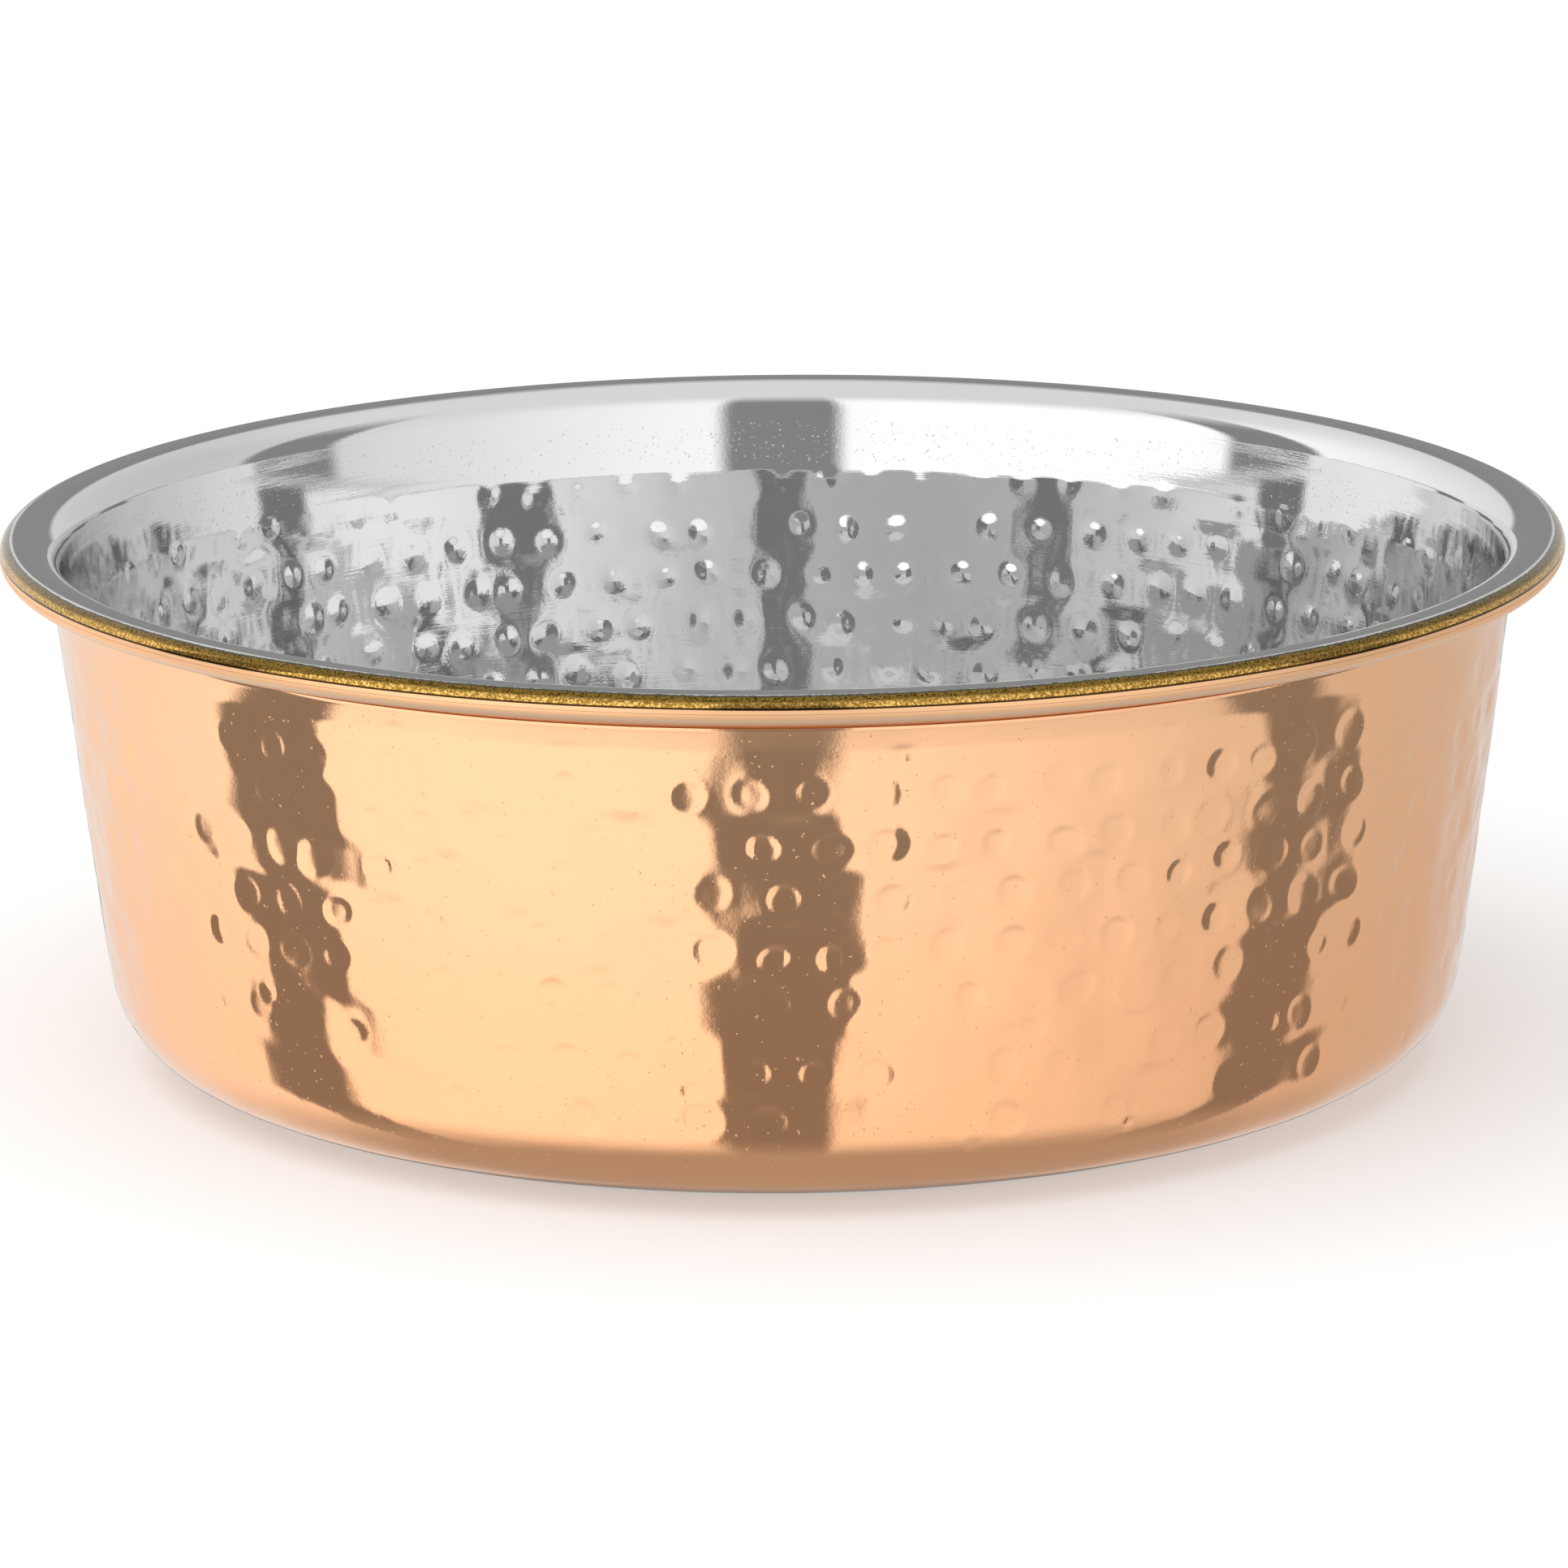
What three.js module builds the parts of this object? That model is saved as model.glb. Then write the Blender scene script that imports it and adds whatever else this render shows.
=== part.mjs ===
// Hammered copper bowl: a deep-drawn stainless steel bowl with a flared, rolled rim,
// a copper layer over its whole outside, and a rubber ring that it stands on.
// Units are millimetres and +Z is up. The origin is on the table, at the centre of the bowl.

import * as THREE from 'three';

// ---- driving dimensions -----------------------------------------------------------------

const HEIGHT = 73.5;              // table to the top of the rim
const RIM_RADIUS = 108;           // outermost point of the rolled bead

const FOOT_RADIUS = 93.2;         // outer wall line carried down to the underside of the bowl
const WALL_LEAN = THREE.MathUtils.degToRad(6.75);   // wall angle, outwards from upright
const CORNER_RADIUS = 11;         // outside radius between wall and underside

const STEEL_THICKNESS = 0.8;
const COPPER_THICKNESS = 0.4;
const CLEARANCE = 0.3;            // gap kept between pieces that touch

const FLARE_RADIUS = 4.5;         // middle of the sheet, where the wall turns out into the lip
const BEAD_RADIUS = 2.05;         // outside radius of the rolled bead
const CURL_END = THREE.MathUtils.degToRad(-160);    // where the roll stops, under the lip
const COPPER_TOP = 68;            // upper edge of the copper, tucked under the bead

const RING_THICKNESS = 1.5;
const RING_OUTER_RADIUS = 79;
const RING_INNER_RADIUS = 69;
const RING_EDGE_RADIUS = 0.5;     // rounding on the ring's edges

const TURN_SEGMENTS = 80;         // facets around the axis
const CORNER_STEPS = 7;
const FLARE_STEPS = 6;
const BEAD_STEPS = 12;
const EDGE_STEPS = 2;

// ---- worked out from them ---------------------------------------------------------------

const UNDERSIDE = RING_THICKNESS + CLEARANCE;       // height of the copper's bottom face
const STEEL_OUTSIDE = COPPER_THICKNESS + CLEARANCE; // depths are counted in from the copper
const STEEL_INSIDE = STEEL_OUTSIDE + STEEL_THICKNESS;
const STEEL_MIDDLE = STEEL_OUTSIDE + STEEL_THICKNESS / 2;

const QUARTER = Math.PI / 2;

const cornerCentre = new THREE.Vector2(
  FOOT_RADIUS + CORNER_RADIUS * Math.tan(WALL_LEAN) - CORNER_RADIUS / Math.cos(WALL_LEAN),
  UNDERSIDE + CORNER_RADIUS,
);

const flareCentre = new THREE.Vector2(0, HEIGHT - STEEL_THICKNESS / 2 - FLARE_RADIUS);
const flareStartHeight = flareCentre.y + FLARE_RADIUS * Math.sin(WALL_LEAN);
flareCentre.x = wallRadius(STEEL_MIDDLE, flareStartHeight) + FLARE_RADIUS * Math.cos(WALL_LEAN);

const beadCentre = new THREE.Vector2(RIM_RADIUS - BEAD_RADIUS, HEIGHT - BEAD_RADIUS);

// ---- profiles: x is the radius, y is the height -----------------------------------------

// Radius of the wall at a height, for the surface that lies a depth inside the copper's face.
function wallRadius(depth, height) {
  return FOOT_RADIUS + (height - UNDERSIDE) * Math.tan(WALL_LEAN) - depth / Math.cos(WALL_LEAN);
}

// Points on an arc, both ends included.
function arc(centre, radius, from, to, steps) {
  const points = [];
  for (let i = 0; i <= steps; i += 1) {
    const angle = from + ((to - from) * i) / steps;
    points.push(new THREE.Vector2(
      centre.x + radius * Math.cos(angle),
      centre.y + radius * Math.sin(angle),
    ));
  }
  return points;
}

// Underside and corner, from the axis out to the foot of the wall, at a depth.
function baseProfile(depth) {
  const corner = arc(cornerCentre, CORNER_RADIUS - depth, -QUARTER, -WALL_LEAN, CORNER_STEPS);
  return [new THREE.Vector2(0, UNDERSIDE + depth), ...corner];
}

// The flare from the wall's lean to level, on the side that is offset from the sheet's middle.
function flareProfile(offset) {
  return arc(flareCentre, FLARE_RADIUS + offset, Math.PI - WALL_LEAN, QUARTER, FLARE_STEPS);
}

// The bead from the top of the lip, round the outside, to the end of the roll.
function beadProfile(radius) {
  return arc(beadCentre, radius, QUARTER, CURL_END, BEAD_STEPS);
}

function steelProfile() {
  const half = STEEL_THICKNESS / 2;
  const inside = [...baseProfile(STEEL_INSIDE), ...flareProfile(half), ...beadProfile(BEAD_RADIUS)];
  const outside = [
    ...baseProfile(STEEL_OUTSIDE),
    ...flareProfile(-half),
    ...beadProfile(BEAD_RADIUS - STEEL_THICKNESS),
  ];
  return [...outside, ...inside.reverse()];
}

function copperProfile() {
  const top = (depth) => new THREE.Vector2(wallRadius(depth, COPPER_TOP), COPPER_TOP);
  const outside = [...baseProfile(0), top(0)];
  const inside = [...baseProfile(COPPER_THICKNESS), top(COPPER_THICKNESS)];
  return [...outside, ...inside.reverse()];
}

// A flat ring with rounded edges, closed on itself.
function ringProfile() {
  const low = RING_EDGE_RADIUS;
  const high = RING_THICKNESS - RING_EDGE_RADIUS;
  const outer = RING_OUTER_RADIUS - RING_EDGE_RADIUS;
  const inner = RING_INNER_RADIUS + RING_EDGE_RADIUS;
  const corners = [
    [outer, low, -QUARTER],
    [outer, high, 0],
    [inner, high, QUARTER],
    [inner, low, Math.PI],
  ];
  const points = corners.flatMap(([x, y, start]) => arc(
    new THREE.Vector2(x, y), RING_EDGE_RADIUS, start, start + QUARTER, EDGE_STEPS,
  ));
  return [...points, points[0].clone()];
}

// ---- pieces -----------------------------------------------------------------------------

function turned(name, profile, colour, roughness, metalness) {
  const geometry = new THREE.LatheGeometry(profile, TURN_SEGMENTS);
  geometry.rotateX(QUARTER);
  const material = new THREE.MeshStandardMaterial({ color: colour, roughness, metalness });
  const mesh = new THREE.Mesh(geometry, material);
  mesh.name = name;
  return mesh;
}

const bowl = new THREE.Group();
bowl.add(turned('steel_bowl', steelProfile(), '#c9cbcd', 0.12, 1));
bowl.add(turned('copper_outer_layer', copperProfile(), '#c98a5c', 0.15, 1));
bowl.add(turned('rubber_base_ring', ringProfile(), '#24262b', 0.7, 0));

export default bowl;
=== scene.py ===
import math

import bmesh
import bpy
import numpy as np
from mathutils import Matrix, Vector


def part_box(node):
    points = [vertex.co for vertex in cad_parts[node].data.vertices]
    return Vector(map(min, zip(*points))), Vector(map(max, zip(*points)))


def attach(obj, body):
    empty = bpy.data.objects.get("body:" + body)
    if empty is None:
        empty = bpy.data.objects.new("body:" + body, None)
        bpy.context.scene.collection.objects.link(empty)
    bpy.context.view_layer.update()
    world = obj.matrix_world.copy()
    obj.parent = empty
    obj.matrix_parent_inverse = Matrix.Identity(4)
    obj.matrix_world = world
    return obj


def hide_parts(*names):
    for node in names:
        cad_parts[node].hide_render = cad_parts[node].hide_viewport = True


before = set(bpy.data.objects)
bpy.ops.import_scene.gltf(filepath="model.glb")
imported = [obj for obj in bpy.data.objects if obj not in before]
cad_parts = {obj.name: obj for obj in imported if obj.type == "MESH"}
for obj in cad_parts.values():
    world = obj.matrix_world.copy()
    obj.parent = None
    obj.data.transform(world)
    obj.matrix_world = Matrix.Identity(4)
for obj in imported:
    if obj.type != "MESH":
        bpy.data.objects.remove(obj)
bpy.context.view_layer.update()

# Looks of the hammered bowl: polished steel inside, plated copper outside, rubber ring below.
# Metres, +Z up, the origin on the table under the middle of the bowl.

MM = 0.001
TURN = 2 * math.pi
SEED = 20

# ---- sizes, from the frame and the sheet that the bowl is drawn from ---------------------

steel_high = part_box("steel_bowl")[1]
copper_low, copper_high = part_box("copper_outer_layer")
ring_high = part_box("rubber_base_ring")[1]

RIM_RADIUS = steel_high.x
RIM_TOP = steel_high.z
UNDERSIDE = copper_low.z
COPPER_TOP = copper_high.z
RING_TOP = ring_high.z
RING_OUTER = ring_high.x

WALL_LEAN = math.radians(6.75)
CORNER_RADIUS = 11 * MM
STEEL_SHEET = 0.8 * MM
STEEL_OUTSIDE = 0.7 * MM          # depths are counted in from the copper's face
STEEL_INSIDE = STEEL_OUTSIDE + STEEL_SHEET
COPPER_BACK = 0.62 * MM           # the hidden face of the copper, deeper than any dent
FLARE_RADIUS = 4.5 * MM           # middle of the sheet
BEAD_RADIUS = 2.05 * MM
CURL_END = math.radians(-160)
RING_WIDTH = 10 * MM

FOOT_RADIUS = copper_high.x - (COPPER_TOP - UNDERSIDE) * math.tan(WALL_LEAN)
CORNER_R = FOOT_RADIUS + CORNER_RADIUS * (math.tan(WALL_LEAN) - 1 / math.cos(WALL_LEAN))
CORNER_Z = UNDERSIDE + CORNER_RADIUS
WALL_FOOT_Z = CORNER_Z - CORNER_RADIUS * math.sin(WALL_LEAN)
CORNER_ARC = CORNER_RADIUS * (math.pi / 2 - WALL_LEAN)

# ---- hammer marks ------------------------------------------------------------------------

DENT_ROWS = (                     # (height, share of dents missing, strength) of each row
    (59.2 * MM, 0.12, 0.80), (52.1 * MM, 0.03, 1.0), (45.2 * MM, 0.03, 1.0), (38.0 * MM, 0.03, 1.0),
    (30.8 * MM, 0.05, 0.95), (21.5 * MM, 0.15, 0.65), (14.2 * MM, 0.45, 0.55),
)
DENT_PITCH = 7.9 * MM
PITCH_SPREAD = (0.97, 1.03)       # from row to row
PITCH_SCATTER = 0.10              # from dent to dent, in pitches
DENT_RADIUS = (1.9 * MM, 2.75 * MM)
DENT_DEPTH = (0.04 * MM, 0.17 * MM)
DENT_STRETCH = (0.9, 1.12)
DENT_WALL = 0.34                  # width of a dent's sloping edge, in radii
FLOOR_SHARE = 0.48                # the part of its depth that is a round hollow, not a flat floor
DENT_TILT = 0.35                  # how far the blows come in at a slant, in shares of the depth
DISH_SHARE = 0.22                 # the wide hollow round each dent, in shares of its depth
DISH_WIDTH = 1.8
BURR_HEIGHT = 0.012 * MM          # the faint raised line round each dent
BURR_WIDTH = 0.16                 # in radii
DENT_REACH = 3.4                  # how far a dent is worked out, in radii
ROW_WANDER = 0.8 * MM             # how far the rows rise and fall round the bowl
ROW_PHASE = 0.6                   # where round the bowl they rise
DENT_WANDER = 0.4 * MM            # how far each dent lies off its row
NICKS = 60                        # small marks above and below the rows
NICK_HEIGHTS = (64.6 * MM, 25.5 * MM, 17.5 * MM, 10.5 * MM)
NICK_WANDER = 0.8 * MM
NICK_RADIUS = (0.7 * MM, 1.5 * MM)
NICK_DEPTH = (0.04 * MM, 0.12 * MM)
DEEPEST = 0.46 * MM               # the dents and flats together hardly go deeper than this
DEEPEST_SPARE = 0.05 * MM         # how softly they are held there
BUMP_WIDTH = 0.56                 # the bumps on the inside: soft hills, narrower than the dents
BUMP_GAIN = 1.30
FAINT_ABOVE = 56 * MM             # the top row of bumps is weaker inside
FAINT_SHARE = 0.55
BUMPS_FADE = 1.8 * MM             # height over which the bumps end, at the smooth band
INSIDE_FLATS = 0.30               # how strongly the flats show inside
STEP_HEIGHT = 0.03 * MM           # the hammered wall stands in from the smooth band by this
STEP_LENGTH = 1.1 * MM

FACETS = 4                        # zigzags that add up to each row of flats between the dents
FACET_LENGTH = (9 * MM, 24 * MM)
FACET_SLOPE = 0.018               # the slope of each zigzag
FACET_TILT = 0.006                # and how much the flats lean up or down
TILT_HEIGHT = 4 * MM              # at this distance above or below the middle of the row
FACET_HALF = 5 * MM               # the lean is held beyond this distance
FACET_CORNER = 0.985              # sharpness of the zigzag's corners, below 1
FACET_BLEND = 3.0 * MM            # height over which one row of flats turns into the next
FADE_DEPTH = 5 * MM               # they begin to weaken this far below the smooth band
FACET_FADE = 6 * MM               # height over which they weaken
SMOOTH_FACETS = 0.25              # their strength in the smooth band
FACET_END = 4 * MM                # height over which they end: the copper's top, the band inside
FACET_FULL = 34 * MM              # they are weaker below this height

FINE = 1216                       # columns round the hammered band
MEDIUM = FINE // 2
COARSE = FINE // 4
ROUGH = FINE // 8
FINE_STEP = 0.5 * MM
HAMMERED_TOP = 63.5 * MM
HAMMERED_LOW = 9.5 * MM
SHOULDER = 64.4 * MM              # above this height the copper leans out more and more
SHOULDER_LEAN = (math.radians(6.0), math.radians(8.0))
TUCK_SPAN = (10 * MM, 4 * MM)     # the foot of the wall leans in over the first of these, and the
TUCK_LEAN = math.radians(2.8)     # corner takes the lean back over the second
INNER_SHOULDER = 60.8 * MM        # above this height the smooth band inside leans out more
INNER_LEAN = (math.radians(2.0), math.radians(3.2))
BEND = 0.8 * MM                   # half the height over which the lean changes


def smooth(value, low, high):
    """0 below low and 1 above high, with a soft turn between."""
    share = np.clip((value - low) / (high - low), 0, 1)
    return share * share * (3 - 2 * share)


def up_the_wall(height):
    """Distance along the copper's face from the foot of the straight wall."""
    return (height - WALL_FOOT_Z) / math.cos(WALL_LEAN)


def face(s):
    """Radius, height and outward direction of the copper's face at distances s from the wall's foot."""
    s = np.asarray(s, float)
    angle = np.where(s > 0, -WALL_LEAN, np.maximum(-WALL_LEAN + s / CORNER_RADIUS, -math.pi / 2))
    out_r, out_z = np.cos(angle), np.sin(angle)
    climb = np.maximum(s, 0)
    flat = np.maximum(-s - CORNER_ARC, 0)
    radius = CORNER_R + CORNER_RADIUS * out_r + climb * math.sin(WALL_LEAN) - flat
    height = CORNER_Z + CORNER_RADIUS * out_z + climb * math.cos(WALL_LEAN)
    return radius, height, out_r, out_z


def hammer_marks():
    """Every dent as (angle, distance along the face, radius, depth, stretch, turn, tilt), and then
    the nicks, which only the copper shows."""
    draw = np.random.default_rng(SEED)
    marks, nicks = [], []
    for height, missing, strength in DENT_ROWS:
        around_row = TURN * float(face(up_the_wall(height))[0])
        count = round(around_row / (DENT_PITCH * draw.uniform(*PITCH_SPREAD)))
        start = draw.uniform(0, TURN)
        for i in range(count):
            angle = start + TURN * (i + draw.normal(0, PITCH_SCATTER)) / count
            wander = ROW_WANDER * math.sin(2 * angle + ROW_PHASE) + draw.normal(0, DENT_WANDER)
            radius = draw.uniform(*DENT_RADIUS)
            depth = strength * draw.uniform(*DENT_DEPTH)
            stretch = draw.uniform(*DENT_STRETCH)
            turn = draw.uniform(0, math.pi)
            if draw.uniform() > missing:
                tilt = draw.uniform(0, DENT_TILT)
                marks.append((angle, up_the_wall(height) + wander, radius, depth, stretch, turn, tilt))
    for _ in range(NICKS):
        height = draw.choice(NICK_HEIGHTS) + draw.normal(0, NICK_WANDER)
        radius = draw.uniform(*NICK_RADIUS)
        depth = draw.uniform(*NICK_DEPTH)
        nicks.append((draw.uniform(0, TURN), up_the_wall(height), radius, depth, 1.0, 0.0, 0.0))
    return marks, nicks


def dent_shape(square):
    """Depth of a hammer mark over the square of the distance from its middle, in radii."""
    away = np.sqrt(square)
    wall = np.clip((1 - away) / DENT_WALL, 0, 1)
    flat = wall * wall * (3 - 2 * wall)
    hollow = FLOOR_SHARE * np.maximum(1 - square, 0) + (1 - FLOOR_SHARE) * flat
    return hollow + DISH_SHARE * np.exp(-square / DISH_WIDTH ** 2)


def bump_shape(square):
    """Height of the soft hill that a mark leaves on the inside of the sheet."""
    return BUMP_GAIN * np.exp(-square / BUMP_WIDTH ** 2)


def dent_field(s, radius, count, marks, shape, burr_height=0.0):
    """Depth of the marks on a grid of the distances s by count columns. Radius has one value for
    each distance, and shape gives a mark's depth over the square of the distance from its middle."""
    field = np.zeros((len(s), count))
    turn_step = TURN / count
    for angle, centre, size, depth, stretch, turn, tilt in marks:
        rows = np.nonzero(np.abs(s - centre) < DENT_REACH * size)[0]
        if len(rows) == 0:
            continue
        around = float(np.mean(radius[rows]))
        half = int(DENT_REACH * size / (around * turn_step)) + 1
        columns = round(angle / turn_step) + np.arange(-half, half + 1)
        across = ((columns * turn_step - angle) * around)[None, :]
        along = (s[rows] - centre)[:, None]
        u = (across * math.cos(turn) + along * math.sin(turn)) / (size * stretch)
        v = (along * math.cos(turn) - across * math.sin(turn)) / (size / stretch)
        square = u * u + v * v
        burr = np.exp(-((np.sqrt(square) - 1 - BURR_WIDTH) / BURR_WIDTH) ** 2)
        slant = 1 + tilt * np.clip(u, -1, 1)
        field[np.ix_(rows, columns % count)] += depth * shape(square) * slant - burr_height * burr
    return field


def zigzags(draw, slope, angles):
    """A sum of zigzags round the bowl, of one slope each."""
    total = np.zeros(len(angles))
    for _ in range(FACETS):
        length = draw.uniform(*FACET_LENGTH)
        turns = round(TURN * FOOT_RADIUS / length)
        wave = np.arcsin(FACET_CORNER * np.sin(turns * angles + draw.uniform(0, TURN)))
        total += slope * length / TURN * wave
    return total


def above(s, edge):
    """1 above the edge between two rows of flats, 0 below it."""
    if math.isinf(edge):
        return np.full(len(s), 0.0 if edge > 0 else 1.0)
    return smooth(s, edge - FACET_BLEND / 2, edge + FACET_BLEND / 2)


def facet_field(s, count):
    """Depth of the flats between the hammer marks: each row of marks has its own zigzags."""
    draw = np.random.default_rng(SEED + 1)
    angles = TURN * np.arange(count) / count
    centres = [up_the_wall(row[0]) for row in DENT_ROWS]
    edges = [math.inf] + [(a + b) / 2 for a, b in zip(centres, centres[1:])] + [-math.inf]
    field = np.zeros((len(s), count))
    for i, centre in enumerate(centres):
        level = zigzags(draw, FACET_SLOPE, angles)
        tilt = zigzags(draw, FACET_TILT, angles) / TILT_HEIGHT
        share = above(s, edges[i + 1]) - above(s, edges[i])
        away = np.clip(s - centre, -FACET_HALF, FACET_HALF)
        field += share[:, None] * (level[None, :] + away[:, None] * tilt[None, :])
    return field


def pushed_in(s):
    """How far the beating has pushed the wall inwards, seen from inside the bowl."""
    bend = up_the_wall(INNER_SHOULDER)
    span = up_the_wall(COPPER_TOP) - bend
    start, end = (math.tan(lean) for lean in INNER_LEAN)
    share = np.clip((s - bend) / span, 0, 1)
    rounding = np.clip(1 - np.abs(s - bend) / BEND, 0, 1) ** 2 * BEND / 4
    stand = STEP_HEIGHT * smooth(bend - s, -STEP_LENGTH / 2, STEP_LENGTH / 2)
    leaning = start * (1 - share) + (end - start) * (1 - share ** 2) / 2
    return span * leaning - rounding * start + stand


def spread(s):
    """How far the copper leans out over its straight wall, above the shoulder."""
    climb = np.maximum(s - up_the_wall(SHOULDER), 0)
    span = up_the_wall(COPPER_TOP) - up_the_wall(SHOULDER)
    start, end = (math.tan(lean) for lean in SHOULDER_LEAN)
    return start * climb + (end - start) * climb ** 2 / (2 * span)


def tucked(s):
    """How far the foot of the copper's wall rounds inwards before the corner begins."""
    above_foot, below_foot = TUCK_SPAN
    lean = math.tan(TUCK_LEAN)
    climb = np.clip(above_foot - s, 0, above_foot)
    turn = np.clip(-s, 0, below_foot)
    depth = lean * (climb ** 2 / (2 * above_foot) + turn - turn ** 2 / (2 * below_foot))
    return depth * smooth(s, -CORNER_ARC, -below_foot)


def evenness(s):
    """How strongly the flats show: full in the hammered band, faint in the smooth band."""
    fade = np.clip((s - up_the_wall(HAMMERED_TOP - FADE_DEPTH)) / FACET_FADE, 0, 1)
    rim = np.clip((up_the_wall(COPPER_TOP) - s) / FACET_END, 0, 1)
    foot = np.clip((s + CORNER_ARC) / (CORNER_ARC + up_the_wall(FACET_FULL)), 0, 1)
    return (1 - (1 - SMOOTH_FACETS) * fade) * rim * foot


def sheet_bumps(marks):
    """The same blows as they show inside the bowl, where they are more alike than the dents."""
    usual = sum(DENT_DEPTH) / 2
    bumps = []
    for angle, centre, size, depth, stretch, turn, _ in marks:
        share = FAINT_SHARE if centre > up_the_wall(FAINT_ABOVE) else 1.0
        bumps.append((angle, centre, size, share * (depth + usual) / 2, stretch, turn, 0.0))
    return bumps


MARKS, NICKED = hammer_marks()
BUMPS = sheet_bumps(MARKS)

# ---- mesh building -----------------------------------------------------------------------


def circle(count, radius, height):
    """A ring of count points. Radius and height are numbers, or one value for each point."""
    angles = TURN * np.arange(count) / count
    radius = np.broadcast_to(radius, (count,))
    height = np.broadcast_to(height, (count,))
    return np.column_stack([radius * np.cos(angles), radius * np.sin(angles), height])


def face_rings(s, depth, count, beaten=None):
    """Rings that follow the copper's face at a depth, in the order of s. beaten works out the
    hammering that they show."""
    s = np.asarray(s, float)
    radius, height, out_r, out_z = face(s)
    sunk = np.broadcast_to(np.reshape(depth, (-1, 1)), (len(s), count))
    if beaten is not None:
        sunk = sunk + beaten(s, radius, count)
    rings = []
    for i in range(len(s)):
        rings.append(circle(count, radius[i] - sunk[i] * out_r[i], height[i] - sunk[i] * out_z[i]))
    return rings


def outer_marks(s, radius, count):
    """Depth of the hammering on the copper: dents, nicks and flats."""
    field = dent_field(s, radius, count, MARKS + NICKED, dent_shape, BURR_HEIGHT)
    field += facet_field(s, count) * evenness(s)[:, None]
    held = DEEPEST + DEEPEST_SPARE * np.tanh((field - DEEPEST) / DEEPEST_SPARE)
    return np.minimum(field, held)


def inner_marks(s, radius, count):
    """How far the hammering stands in from the steel's inside: bumps and faint flats."""
    top = up_the_wall(INNER_SHOULDER)
    below_band = np.clip((top - s) / FACET_END, 0, 1)
    flats = facet_field(s, count) * (evenness(s) * below_band)[:, None]
    bumps = dent_field(s, radius, count, BUMPS, bump_shape)
    return bumps * smooth(top + BUMPS_FADE / 2 - s, 0, BUMPS_FADE)[:, None] + INSIDE_FLATS * flats


def arc_rings(centre, radius, start, stop, steps, count):
    """Rings along an arc of the section, both ends included."""
    rings = []
    for i in range(steps + 1):
        angle = start + (stop - start) * i / steps
        rings.append(circle(count, centre[0] + radius * math.cos(angle),
                            centre[1] + radius * math.sin(angle)))
    return rings


def join(first, n_first, second, n_second):
    """Faces between two rings that start at vertices first and second. One may have twice the
    points of the other, or be a single point."""
    if n_first == 1:
        k = np.arange(n_second)
        return [(first, second + a, second + (a + 1) % n_second) for a in k.tolist()]
    if n_second == 1 or n_second < n_first:
        return [tuple(reversed(f)) for f in join(second, n_second, first, n_first)]
    if n_first == n_second:
        return [(first + k, second + k, second + (k + 1) % n_first, first + (k + 1) % n_first)
                for k in range(n_first)]
    faces = []
    for k in range(n_first):
        a, b = first + k, first + (k + 1) % n_first
        c, d, e = (second + (2 * k + j) % n_second for j in range(3))
        faces += [(a, c, d), (a, d, b), (b, d, e)]
    return faces


def turned_mesh(name, rings, closed, marks=None):
    """A mesh object through rings of points, either pole to pole or closed on itself. marks has
    one value for each ring, kept as the point attribute "plating"."""
    counts = [len(r) for r in rings]
    starts = np.concatenate([[0], np.cumsum(counts)[:-1]]).tolist()
    faces = []
    pairs = list(zip(range(len(rings) - 1), range(1, len(rings))))
    if closed:
        pairs.append((len(rings) - 1, 0))
    for a, b in pairs:
        faces += join(starts[a], counts[a], starts[b], counts[b])
    mesh = bpy.data.meshes.new(name)
    mesh.from_pydata(np.concatenate(rings).tolist(), [], faces)
    if marks is not None:
        attribute = mesh.attributes.new("plating", "FLOAT", "POINT")
        attribute.data.foreach_set("value", np.repeat(marks, counts).astype(np.float32))
    work = bmesh.new()
    work.from_mesh(mesh)
    if work.calc_volume(signed=True) < 0:
        bmesh.ops.reverse_faces(work, faces=work.faces)
    work.to_mesh(mesh)
    work.free()
    mesh.shade_smooth()
    piece = bpy.data.objects.new(name, mesh)
    bpy.context.scene.collection.objects.link(piece)
    return piece


def pole(height):
    """A ring of one point, on the axis."""
    return np.array([[0.0, 0.0, height]])


def floor_stations(radii):
    """Distances s of points on the flat underside at these radii."""
    return -CORNER_ARC - (CORNER_R - np.asarray(radii))


# ---- pieces ------------------------------------------------------------------------------

FLAT_RADII = np.array([6, 14, 24]) * MM               # of the rings on the flat base
WIDE_RADII = np.array([34, 45, 56, 66, 73, 79]) * MM
SILVER = math.radians(180)        # values of "plating" away from the bead
COPPER = math.radians(-180)
COPPER_ROUND = 0.12 * MM          # rounding of the copper's top edge
BAND_END = COPPER_TOP - 0.4 * MM
TIP_ROUND = 0.18                  # how far the sheet's edge bulges past the curl, in radians
RING_EDGE = 0.35 * MM             # rounding of the rubber ring's edges
GROOVES = (0.3, 0.5, 0.7)         # their places across the ring, in shares of its width
GROOVE_SECTION = (                # (distance from the groove's middle, height)
    (-0.7 * MM, 0.0), (-0.45 * MM, 0.28 * MM), (0.45 * MM, 0.28 * MM), (0.7 * MM, 0.0),
)

# stations along the face, in bands with a different number of columns
FOOT = np.arange(-CORNER_ARC, up_the_wall(HAMMERED_LOW), 2 * FINE_STEP)
HAMMERED = np.arange(up_the_wall(HAMMERED_LOW), up_the_wall(HAMMERED_TOP), FINE_STEP)
SMOOTH_BAND = np.arange(up_the_wall(HAMMERED_TOP) + FINE_STEP, up_the_wall(BAND_END), FINE_STEP)
CORNER_BACK = np.linspace(0, -CORNER_ARC, 7)[1:]


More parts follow.
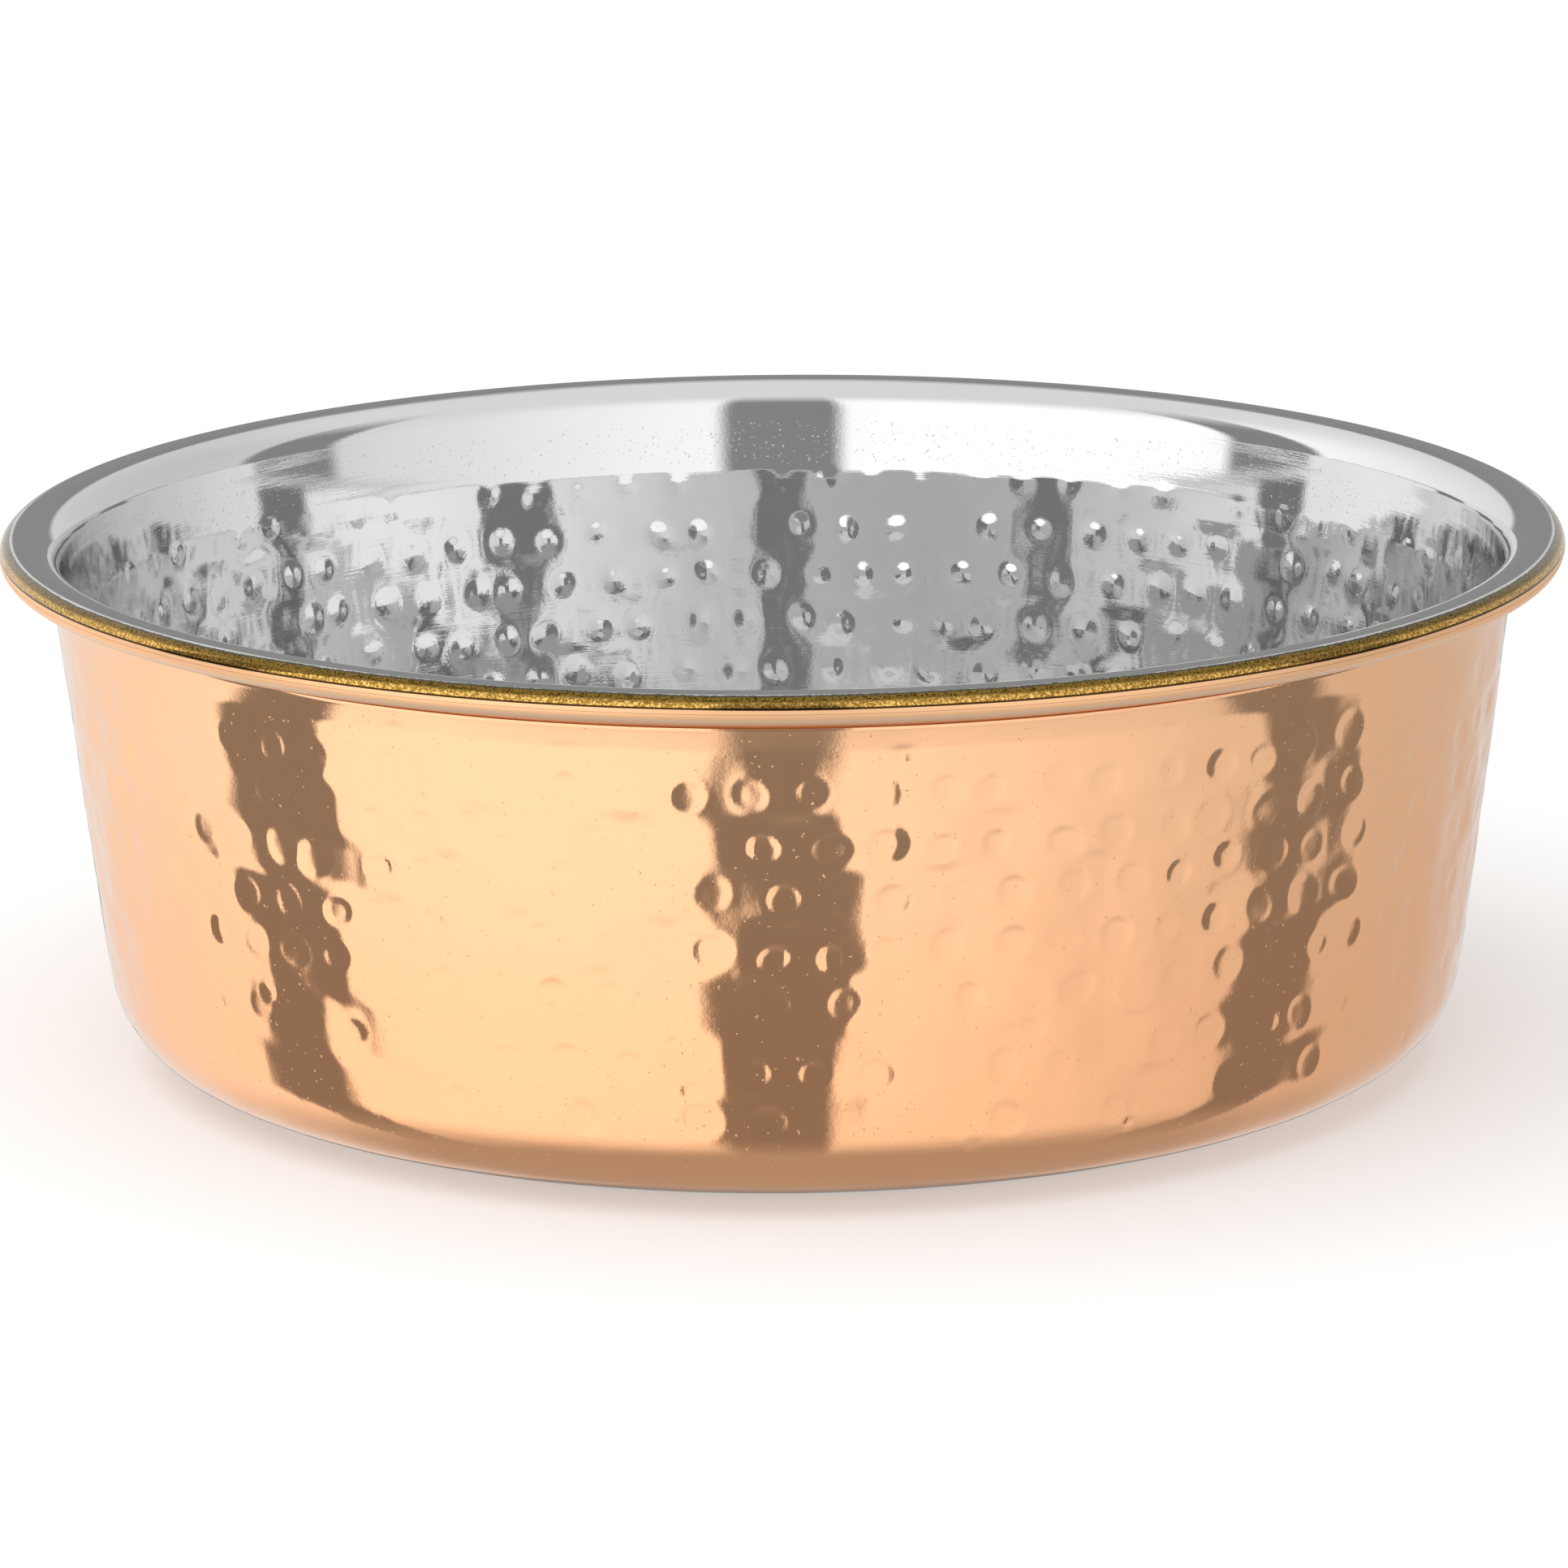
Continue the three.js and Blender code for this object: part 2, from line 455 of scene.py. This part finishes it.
def steel_bowl():
    """The steel sheet, from the middle of its inside over the rim to the middle of its outside."""
    half = STEEL_SHEET / 2
    flare_z = RIM_TOP - half - FLARE_RADIUS
    flare_start = flare_z + FLARE_RADIUS * math.sin(WALL_LEAN)
    start_r, _, out_r, _ = face(up_the_wall(flare_start))
    wall_middle = float(start_r) - (STEEL_OUTSIDE + half) / float(out_r)
    flare = (wall_middle + FLARE_RADIUS * math.cos(WALL_LEAN), flare_z)
    bead = (RIM_RADIUS - BEAD_RADIUS, RIM_TOP - BEAD_RADIUS)
    curl = np.linspace(math.pi / 2, CURL_END, 45)
    tip = CURL_END - TIP_ROUND
    tip_radius = BEAD_RADIUS - half

    inside = STEEL_INSIDE + float(pushed_in(0.0))
    rings = [pole(UNDERSIDE + inside)]
    marks = [SILVER]

    def add(new, plating):
        rings.extend(new)
        marks.extend(np.broadcast_to(plating, (len(new),)))

    add(face_rings(floor_stations(FLAT_RADII), inside, ROUGH), SILVER)
    add(face_rings(floor_stations(WIDE_RADII), inside, COARSE), SILVER)
    for stations, count in ((FOOT, MEDIUM), (HAMMERED, FINE), (SMOOTH_BAND, MEDIUM)):
        add(face_rings(stations, STEEL_INSIDE + pushed_in(stations), count, inner_marks), SILVER)
    add(arc_rings(flare, FLARE_RADIUS + half, math.pi - WALL_LEAN, math.pi / 2, 22, MEDIUM), SILVER)
    add(arc_rings(bead, BEAD_RADIUS, curl[0], curl[-1], len(curl) - 1, MEDIUM), curl)
    add([circle(COARSE, bead[0] + tip_radius * math.cos(tip), bead[1] + tip_radius * math.sin(tip))],
        COPPER)
    add(arc_rings(bead, BEAD_RADIUS - STEEL_SHEET, CURL_END, math.pi / 2, 14, COARSE), COPPER)
    add(arc_rings(flare, FLARE_RADIUS - half, math.pi / 2, math.pi - WALL_LEAN, 8, COARSE), COPPER)
    add(face_rings(np.linspace(up_the_wall(COPPER_TOP), 0, 5), STEEL_OUTSIDE, ROUGH), COPPER)
    add(face_rings(CORNER_BACK, STEEL_OUTSIDE, ROUGH), COPPER)
    add([pole(UNDERSIDE + STEEL_OUTSIDE)], COPPER)
    return turned_mesh("hammered_steel_bowl", rings, False, marks)


def copper_layer():
    """The copper sheet, from the middle of its face over its top edge to the middle of its back."""
    top = up_the_wall(COPPER_TOP)
    shoulder = -spread(SMOOTH_BAND)
    edge = -float(spread(top))
    rings = [pole(UNDERSIDE)]
    rings += face_rings(floor_stations(FLAT_RADII), 0, ROUGH)
    rings += face_rings(floor_stations(WIDE_RADII), 0, COARSE)
    rings += face_rings(FOOT, tucked(FOOT), MEDIUM, outer_marks)
    rings += face_rings(HAMMERED, tucked(HAMMERED), FINE, outer_marks)
    rings += face_rings(SMOOTH_BAND, shoulder, MEDIUM, outer_marks)
    rings += face_rings([top - COPPER_ROUND], edge, MEDIUM)
    rings += face_rings([top], edge + COPPER_ROUND, MEDIUM)
    rings += face_rings([top], COPPER_BACK - COPPER_ROUND, MEDIUM)
    rings += face_rings(np.linspace(top - COPPER_ROUND, 0, 5), COPPER_BACK, COARSE)
    rings += face_rings(CORNER_BACK, COPPER_BACK, ROUGH)
    rings += [pole(UNDERSIDE + COPPER_BACK)]
    return turned_mesh("hammered_copper_layer", rings, False)


def rubber_ring():
    """The rubber ring: a flat section with round edges, and grooves in its lower face."""
    inner = RING_OUTER - RING_WIDTH
    low, high = RING_EDGE, RING_TOP - RING_EDGE
    section = []
    for x, z, start in ((RING_OUTER - RING_EDGE, low, -90), (RING_OUTER - RING_EDGE, high, 0),
                        (inner + RING_EDGE, high, 90), (inner + RING_EDGE, low, 180)):
        for degrees in range(start, start + 91, 30):
            angle = math.radians(degrees)
            section.append((x + RING_EDGE * math.cos(angle), z + RING_EDGE * math.sin(angle)))
    for groove in GROOVES:
        middle = inner + groove * RING_WIDTH
        for offset, height in GROOVE_SECTION:
            section.append((middle + offset, height))
    rings = [circle(COARSE, r, z) for r, z in section]
    return turned_mesh("rubber_ring", rings, True)


# ---- materials ---------------------------------------------------------------------------


class Graph:
    """A material's node tree, with short ways to add and link nodes."""

    def __init__(self, name):
        self.material = bpy.data.materials.new(name)
        self.material.use_nodes = True
        self.tree = self.material.node_tree
        self.tree.nodes.clear()
        self.output = self.add("ShaderNodeOutputMaterial")

    def add(self, kind, settings=None, **values):
        """A new node with these settings and inputs. An input is told by its name, or by an
        underscore and its number."""
        node = self.tree.nodes.new(kind)
        for key, value in (settings or {}).items():
            setattr(node, key, value)
        for key, value in values.items():
            self.put(node, key, value)
        return node

    def put(self, node, key, value):
        """Link a socket to an input, or give the input a value."""
        socket = node.inputs[int(key[1:])] if key[0] == "_" else node.inputs[key.replace("_", " ")]
        if isinstance(value, bpy.types.NodeSocket):
            self.tree.links.new(value, socket)
        else:
            socket.default_value = value

    def math(self, operation, a, b=0.0):
        return self.add("ShaderNodeMath", {"operation": operation}, _0=a, _1=b).outputs[0]

    def ramp(self, value, low, high, to_low=0.0, to_high=1.0):
        """value from low..high to to_low..to_high, smoothly, and held beyond."""
        node = self.add("ShaderNodeMapRange", {"interpolation_type": "SMOOTHSTEP"}, Value=value,
                        From_Min=low, From_Max=high, To_Min=to_low, To_Max=to_high)
        return node.outputs[0]

    def noise(self, vector, scale, detail=2.0, rough=0.5):
        node = self.add("ShaderNodeTexNoise", None, Vector=vector, Scale=scale, Detail=detail,
                        Roughness=rough)
        return node.outputs["Fac"]

    def mix(self, share, a, b):
        """Colour a where share is 0, colour b where it is 1."""
        node = self.add("ShaderNodeMix", {"data_type": "RGBA"})
        self.put(node, "_0", share)
        self.put(node, "_6", a)
        self.put(node, "_7", b)
        return node.outputs[2]

    def finish(self, shader):
        self.put(self.output, "Surface", shader.outputs[0])
        return self.material


STREAK_ROUND = 45.0                # scale of the turning lines round the bowl
STREAK_ACROSS = 2600.0             # and across them


def place(graph):
    """Object position, a position stretched so that noise runs round the bowl in streaks, and the
    height."""
    position = graph.add("ShaderNodeTexCoord").outputs["Object"]
    split = graph.add("ShaderNodeSeparateXYZ", None, Vector=position)
    x, y, z = split.outputs
    radius = graph.math("SQRT", graph.math("ADD", graph.math("MULTIPLY", x, x),
                                           graph.math("MULTIPLY", y, y)))
    across = graph.math("ADD", radius, z)
    streaks = graph.add("ShaderNodeCombineXYZ", None, X=graph.math("MULTIPLY", x, STREAK_ROUND),
                        Y=graph.math("MULTIPLY", y, STREAK_ROUND),
                        Z=graph.math("MULTIPLY", across, STREAK_ACROSS))
    return position, streaks.outputs[0], z


def rgb(r, g, b):
    return (r, g, b, 1.0)


def grey(level):
    return rgb(level, level, level)


def micro_bump(g, height, distance):
    """A bump for the height, whose slopes grow with distance, in metres."""
    return g.add("ShaderNodeBump", None, Strength=1.0, Distance=distance, Height=height).outputs[0]


def pitted(g, pits, distance, normal):
    """A normal with pits on top of the finer bump."""
    node = g.add("ShaderNodeBump", None, Strength=1.0, Distance=distance, Height=pits,
                 Normal=normal)
    return node.outputs[0]


def degrees_below(g, angle, start, stop):
    """0 where the plating's angle is above start degrees, 1 where it is below stop degrees."""
    return g.ramp(angle, math.radians(start), math.radians(stop))


# The plating ends on the bead in bands, each from one angle to the next, in degrees round the bead
# from its outermost line: above them is steel. The dark band, the olive band, the brown band and the
# thin line in the copper band are painted reflections of dark parts of the studio; the olive band
# also carries the plating's own mottle.
DARK_REFLECTION_EDGE = (77, 71)
OLIVE_MOTTLE_AND_REFLECTION_EDGE = (67, 60)
GOLD_EDGE = (46, 32)
BROWN_REFLECTION_EDGE = (18.5, 15.0)
PEACH_EDGE = (10.5, 8.0)
LOWER_EDGE = (-24, -36)
REFLECTED_LINE = -7                          # a painted reflection: the thin dark line in the copper band
REFLECTED_LINE_HALF = 1.0
REFLECTED_LINE_SOFT = 0.5
GLOSS_EDGE = (72, 60)              # where the plating's gloss begins
SATIN_EDGE = (10, 6)               # where the bead turns satin
RAGGED = (0.25, 0.30)              # how much grain and drift fray the edges, in radians


def reflected_line_share(g, plating):
    """1 on the thin line in the copper band, a painted reflection of a dark line."""
    begun = degrees_below(g, plating, REFLECTED_LINE + REFLECTED_LINE_HALF + REFLECTED_LINE_SOFT, REFLECTED_LINE + REFLECTED_LINE_HALF - REFLECTED_LINE_SOFT)
    ended = degrees_below(g, plating, REFLECTED_LINE - REFLECTED_LINE_HALF + REFLECTED_LINE_SOFT, REFLECTED_LINE - REFLECTED_LINE_HALF - REFLECTED_LINE_SOFT)
    return g.math("SUBTRACT", begun, g.math("MULTIPLY", begun, ended))


def steel_material():
    """Polished steel with turning lines and pits, and the end of the plating on its bead, with painted
    reflections of dark parts of the studio as dark bands across it.
    """
    g = Graph("polished_steel")
    position, streaks, z = place(g)
    cloud = g.noise(position, 35.0, 3.0)
    grain = g.noise(position, 1900.0, 3.0, 0.6)
    speckle = g.noise(position, 3000.0, 2.0, 0.7)
    lines = g.noise(streaks, 1.0, 3.0, 0.65)

    plating = g.add("ShaderNodeAttribute", {"attribute_name": "plating"}).outputs["Fac"]
    drift = g.noise(position, 60.0, 2.0)
    ragged = g.math("ADD", g.math("MULTIPLY", grain, RAGGED[0]),
                    g.math("MULTIPLY", drift, RAGGED[1]))
    angle = g.math("ADD", plating, g.math("SUBTRACT", ragged, sum(RAGGED) / 2))
    steel = g.mix(cloud, grey(0.70), rgb(0.78, 0.78, 0.77))
    mottle = g.ramp(speckle, 0.38, 0.56)
    gold = g.mix(mottle, rgb(0.95, 0.58, 0.17), rgb(0.30, 0.17, 0.03))
    # painted reflection with the plating's own mottle: the dark olive band
    olive_mottle_and_reflection = g.mix(mottle, rgb(0.050, 0.030, 0.005), rgb(0.26, 0.16, 0.03))
    # painted reflection: the near-black band on the bead, where it mirrors a dark part of the studio
    colour = g.mix(degrees_below(g, angle, *DARK_REFLECTION_EDGE), steel, rgb(0.09, 0.08, 0.05))
    colour = g.mix(degrees_below(g, angle, *OLIVE_MOTTLE_AND_REFLECTION_EDGE), colour, olive_mottle_and_reflection)
    colour = g.mix(degrees_below(g, angle, *GOLD_EDGE), colour, gold)
    # painted reflection: the near-black band between the gold and the peach copper
    colour = g.mix(degrees_below(g, plating, *BROWN_REFLECTION_EDGE), colour, rgb(0.05, 0.022, 0.006))
    colour = g.mix(degrees_below(g, plating, *PEACH_EDGE), colour, rgb(1.0, 0.61, 0.34))
    # painted reflection: the thin dark line in the copper band
    colour = g.mix(reflected_line_share(g, plating), colour, rgb(0.60, 0.30, 0.14))
    colour = g.mix(degrees_below(g, plating, *LOWER_EDGE), colour, rgb(0.96, 0.70, 0.50))

    rough = g.ramp(lines, 0.35, 0.75, 0.012, 0.035)
    less_gloss = g.math("MULTIPLY", degrees_below(g, angle, *GLOSS_EDGE), 0.06)
    satin = g.math("MULTIPLY", degrees_below(g, plating, *SATIN_EDGE), 0.42)
    rough = g.math("ADD", g.math("ADD", rough, less_gloss), satin)
    height = g.math("ADD", g.math("MULTIPLY", grain, 0.8), g.math("MULTIPLY", lines, 0.9))
    pits = g.ramp(g.noise(position, 2300.0, 1.0), 0.70, 0.78)
    band = g.math("MULTIPLY", g.ramp(z, INNER_SHOULDER, INNER_SHOULDER + MM),
                  g.ramp(z, COPPER_TOP - MM, COPPER_TOP, 1.0, 0.0))
    normal = pitted(g, g.math("MULTIPLY", pits, band), 0.03 * MM, micro_bump(g, height, 0.0035 * MM))
    shader = g.add("ShaderNodeBsdfPrincipled", None, Base_Color=colour, Metallic=1.0,
                   Roughness=rough, Normal=normal)
    return g.finish(shader)


def copper_material():
    """Copper with cloudy colour, a painted shade that deepens it towards the foot, and fine grain and
    pits.
    """
    g = Graph("plated_copper")
    position, streaks, z = place(g)
    cloud = g.noise(position, 28.0, 3.0)
    grain = g.noise(position, 1700.0, 3.0, 0.6)
    fine = g.noise(position, 420.0, 3.0, 0.6)
    lines = g.noise(streaks, 1.0, 2.0, 0.6)
    colour = g.mix(cloud, rgb(0.91, 0.515, 0.285), rgb(0.95, 0.55, 0.315))
    # painted shade: the copper turns a deeper orange towards the foot, where it mirrors the dark floor
    # under the bowl
    low = g.ramp(z, 12 * MM, 60 * MM, 1.0, 0.0)
    colour = g.mix(low, colour, rgb(0.93, 0.485, 0.255))
    colour = g.mix(g.ramp(fine, 0.60, 0.80, 0.0, 0.15), colour, rgb(0.80, 0.42, 0.20))
    rough = g.ramp(fine, 0.35, 0.80, 0.050, 0.090)
    height = g.math("ADD", grain, g.math("MULTIPLY", lines, 0.30))
    pits = g.ramp(g.noise(position, 1500.0, 1.0), 0.73, 0.80)
    normal = pitted(g, pits, 0.025 * MM, micro_bump(g, height, 0.005 * MM))
    shader = g.add("ShaderNodeBsdfPrincipled", None, Base_Color=colour, Metallic=1.0,
                   Roughness=rough, Normal=normal)
    return g.finish(shader)


def rubber_material():
    """Dark matt rubber with paler dust."""
    g = Graph("ring_rubber")
    position, _, _ = place(g)
    dust = g.noise(position, 160.0, 4.0, 0.6)
    grain = g.noise(position, 2200.0, 2.0)
    colour = g.mix(g.ramp(dust, 0.45, 0.8), rgb(0.020, 0.022, 0.027), rgb(0.055, 0.057, 0.064))
    bump = g.add("ShaderNodeBump", None, Strength=0.4, Distance=0.1 * MM, Height=grain)
    shader = g.add("ShaderNodeBsdfPrincipled", None, Base_Color=colour,
                   Roughness=g.ramp(dust, 0.3, 0.8, 0.55, 0.75), Normal=bump.outputs[0])
    return g.finish(shader)


FLOOR_GLOW = 0.42                  # keeps the bowl's shadow faint


def floor_material():
    g = Graph("pale_floor")
    position, _, _ = place(g)
    tone = g.noise(position, 3.0, 2.0)
    colour = g.mix(tone, grey(0.55), grey(0.58))
    matt = g.add("ShaderNodeBsdfDiffuse", None, Color=colour)
    glow = g.add("ShaderNodeEmission", None, Color=grey(1.0), Strength=FLOOR_GLOW)
    return g.finish(g.add("ShaderNodeAddShader", None, _0=matt.outputs[0], _1=glow.outputs[0]))


for piece, node, slot, material in (
    (steel_bowl(), "steel_bowl", "steel", steel_material()),
    (copper_layer(), "copper_outer_layer", "copper", copper_material()),
    (rubber_ring(), "rubber_base_ring", "rubber", rubber_material()),
):
    piece.data.materials.append(material)
    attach(piece, "root")
    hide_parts(node)

# ---- floor, lights and camera ------------------------------------------------------------

FLOOR_Z = -0.1 * MM
FLOOR_RADII = (0.3, 0.8, 1.6, 3.0, 6.0, 12.0)
STAGE_COLUMNS = 96

floor_rings = [pole(FLOOR_Z)] + [circle(STAGE_COLUMNS, r, FLOOR_Z) for r in FLOOR_RADII]
floor = turned_mesh("floor", floor_rings, False)
floor.data.materials.append(floor_material())
floor.visible_glossy = False

# The metals mirror a closed shell, which nothing else sees: a plain booth of soft panels round the
# bowl, brightest at the front left, with equal dark gaps between them. The camera looks in through
# the front gap. Headings are in degrees from the front, positive to the right, and elevations in
# degrees over the horizon.

SHELL_RADIUS = 5.0
SHELL_COLUMNS = 960

PANELS = 4
GAP_WIDTH = 20
GAP_SOFT = 2.0                     # half the width of a gap's soft edge
GAP_LEVEL = 0.3
KEY_HEADING = -45                  # the middle of the brightest panel
KEY_LEVEL = 1.4
FILL_LEVEL = 0.7                   # opposite it
CEILING = (30, 60)                 # elevations over which the panels turn into the ceiling
CEILING_LEVEL = 0.9
GROUND = (-60, -30)                # elevations over which the dim ground turns into the panels
GROUND_LEVEL = 0.5


def shell_light(headings, elevation):
    """Grey levels of the shell's ring at one elevation."""
    away = np.radians(headings - KEY_HEADING)
    level = FILL_LEVEL + (KEY_LEVEL - FILL_LEVEL) * (1 + np.cos(away)) / 2
    pitch = 360 / PANELS
    off = np.abs((headings + pitch / 2) % pitch - pitch / 2)
    gap = 1 - smooth(off, GAP_WIDTH / 2 - GAP_SOFT, GAP_WIDTH / 2 + GAP_SOFT)
    level = level * (1 - gap) + GAP_LEVEL * gap
    ceiling = smooth(elevation, *CEILING)
    level = level * (1 - ceiling) + CEILING_LEVEL * ceiling
    wall = smooth(elevation, *GROUND)
    level = level * wall + GROUND_LEVEL * (1 - wall)
    return np.repeat(level[:, None], 3, axis=1)


def studio_shell():
    """The closed shell, with its light as the point attribute "light"."""
    elevations = np.arange(-88, 89, 1)
    angles = np.degrees(TURN * np.arange(SHELL_COLUMNS) / SHELL_COLUMNS)
    headings = (angles + 90 + 180) % 360 - 180
    rings = [pole(-SHELL_RADIUS)]
    colours = [shell_light(np.zeros(1), -90)]
    for elevation in elevations:
        across = SHELL_RADIUS * math.cos(math.radians(elevation))
        rings.append(circle(SHELL_COLUMNS, across, SHELL_RADIUS * math.sin(math.radians(elevation))))
        colours.append(shell_light(headings, elevation))
    rings.append(pole(SHELL_RADIUS))
    colours.append(shell_light(np.zeros(1), 90))
    shell = turned_mesh("studio_shell", rings, False)
    light = np.concatenate(colours)
    attribute = shell.data.attributes.new("light", "FLOAT_COLOR", "POINT")
    attribute.data.foreach_set("color", np.column_stack([light, np.ones(len(light))]).ravel())
    return shell


def glow_material(name, colour=None):
    """Emission of one colour, or of the point attribute "light"."""
    g = Graph(name)
    if colour is None:
        colour = g.add("ShaderNodeAttribute", {"attribute_name": "light"}).outputs["Color"]
    material = g.finish(g.add("ShaderNodeEmission", None, Color=colour, Strength=1.0))
    material.cycles.emission_sampling = "NONE"
    return material


def stage_piece(piece, material, camera, glossy):
    """Part of the studio that only the camera or only mirror reflections see."""
    piece.data.materials.append(material)
    piece.visible_camera = camera
    piece.visible_glossy = glossy
    piece.visible_diffuse = False
    piece.visible_transmission = False
    piece.visible_volume_scatter = False
    piece.visible_shadow = False


def backdrop_ball():
    """A ball round the whole stage, which stands behind the bowl in every view."""
    rings = [pole(-BACKDROP_RADIUS)]
    for angle in np.radians(np.arange(-80, 81, 10)):
        across = BACKDROP_RADIUS * math.cos(angle)
        rings.append(circle(STAGE_COLUMNS, across, BACKDROP_RADIUS * math.sin(angle)))
    rings.append(pole(BACKDROP_RADIUS))
    return turned_mesh("backdrop", rings, False)


BACKDROP_RADIUS = 11.5
BACKDROP_LEVEL = 1.0
SUN_STRENGTH = 2.0
SUN_WIDTH = math.radians(75)
SUN_TILT = (math.radians(12), math.radians(-14), 0)
SKY_STRENGTH = 0.50

stage_piece(studio_shell(), glow_material("studio_light"), False, True)
stage_piece(backdrop_ball(), glow_material("backdrop_tone", grey(BACKDROP_LEVEL)), True, False)

sun_data = bpy.data.lights.new("soft_top", "SUN")
sun_data.energy = SUN_STRENGTH
sun_data.angle = SUN_WIDTH
sun = bpy.data.objects.new("soft_top", sun_data)
sun.rotation_euler = SUN_TILT
sun.visible_glossy = False
bpy.context.scene.collection.objects.link(sun)

world = bpy.data.worlds.new("studio")
world.use_nodes = True
sky = world.node_tree.nodes["Background"]
sky.inputs["Color"].default_value = grey(1.0)
sky.inputs["Strength"].default_value = SKY_STRENGTH
bpy.context.scene.world = world
bpy.context.scene.view_settings.view_transform = "Standard"

MIRRORINGS = 24                    # at the far left and right, light runs round inside the bowl
bpy.context.scene.cycles.max_bounces = MIRRORINGS
bpy.context.scene.cycles.glossy_bounces = MIRRORINGS

CAMERA_DISTANCE = 1.08
CAMERA_PIVOT = 50 * MM             # the height that the distance and the elevation are taken from
CAMERA_ELEVATION = math.radians(13.12)
CAMERA_ROLL = math.radians(-0.43)
CAMERA_LENS = 178.1
SENSOR = 36.0
AIM_HEIGHT = 35.7 * MM

camera_data = bpy.data.cameras.new("camera")
camera_data.lens = CAMERA_LENS
camera_data.sensor_width = SENSOR
camera = bpy.data.objects.new("camera", camera_data)
camera.location = (0, -CAMERA_DISTANCE * math.cos(CAMERA_ELEVATION),
                   CAMERA_PIVOT + CAMERA_DISTANCE * math.sin(CAMERA_ELEVATION))
aim = Vector((0, 0, AIM_HEIGHT)) - camera.location
camera.rotation_euler = (aim.to_track_quat("-Z", "Y").to_matrix()
                         @ Matrix.Rotation(CAMERA_ROLL, 3, "Z")).to_euler()
bpy.context.scene.collection.objects.link(camera)
bpy.context.scene.camera = camera
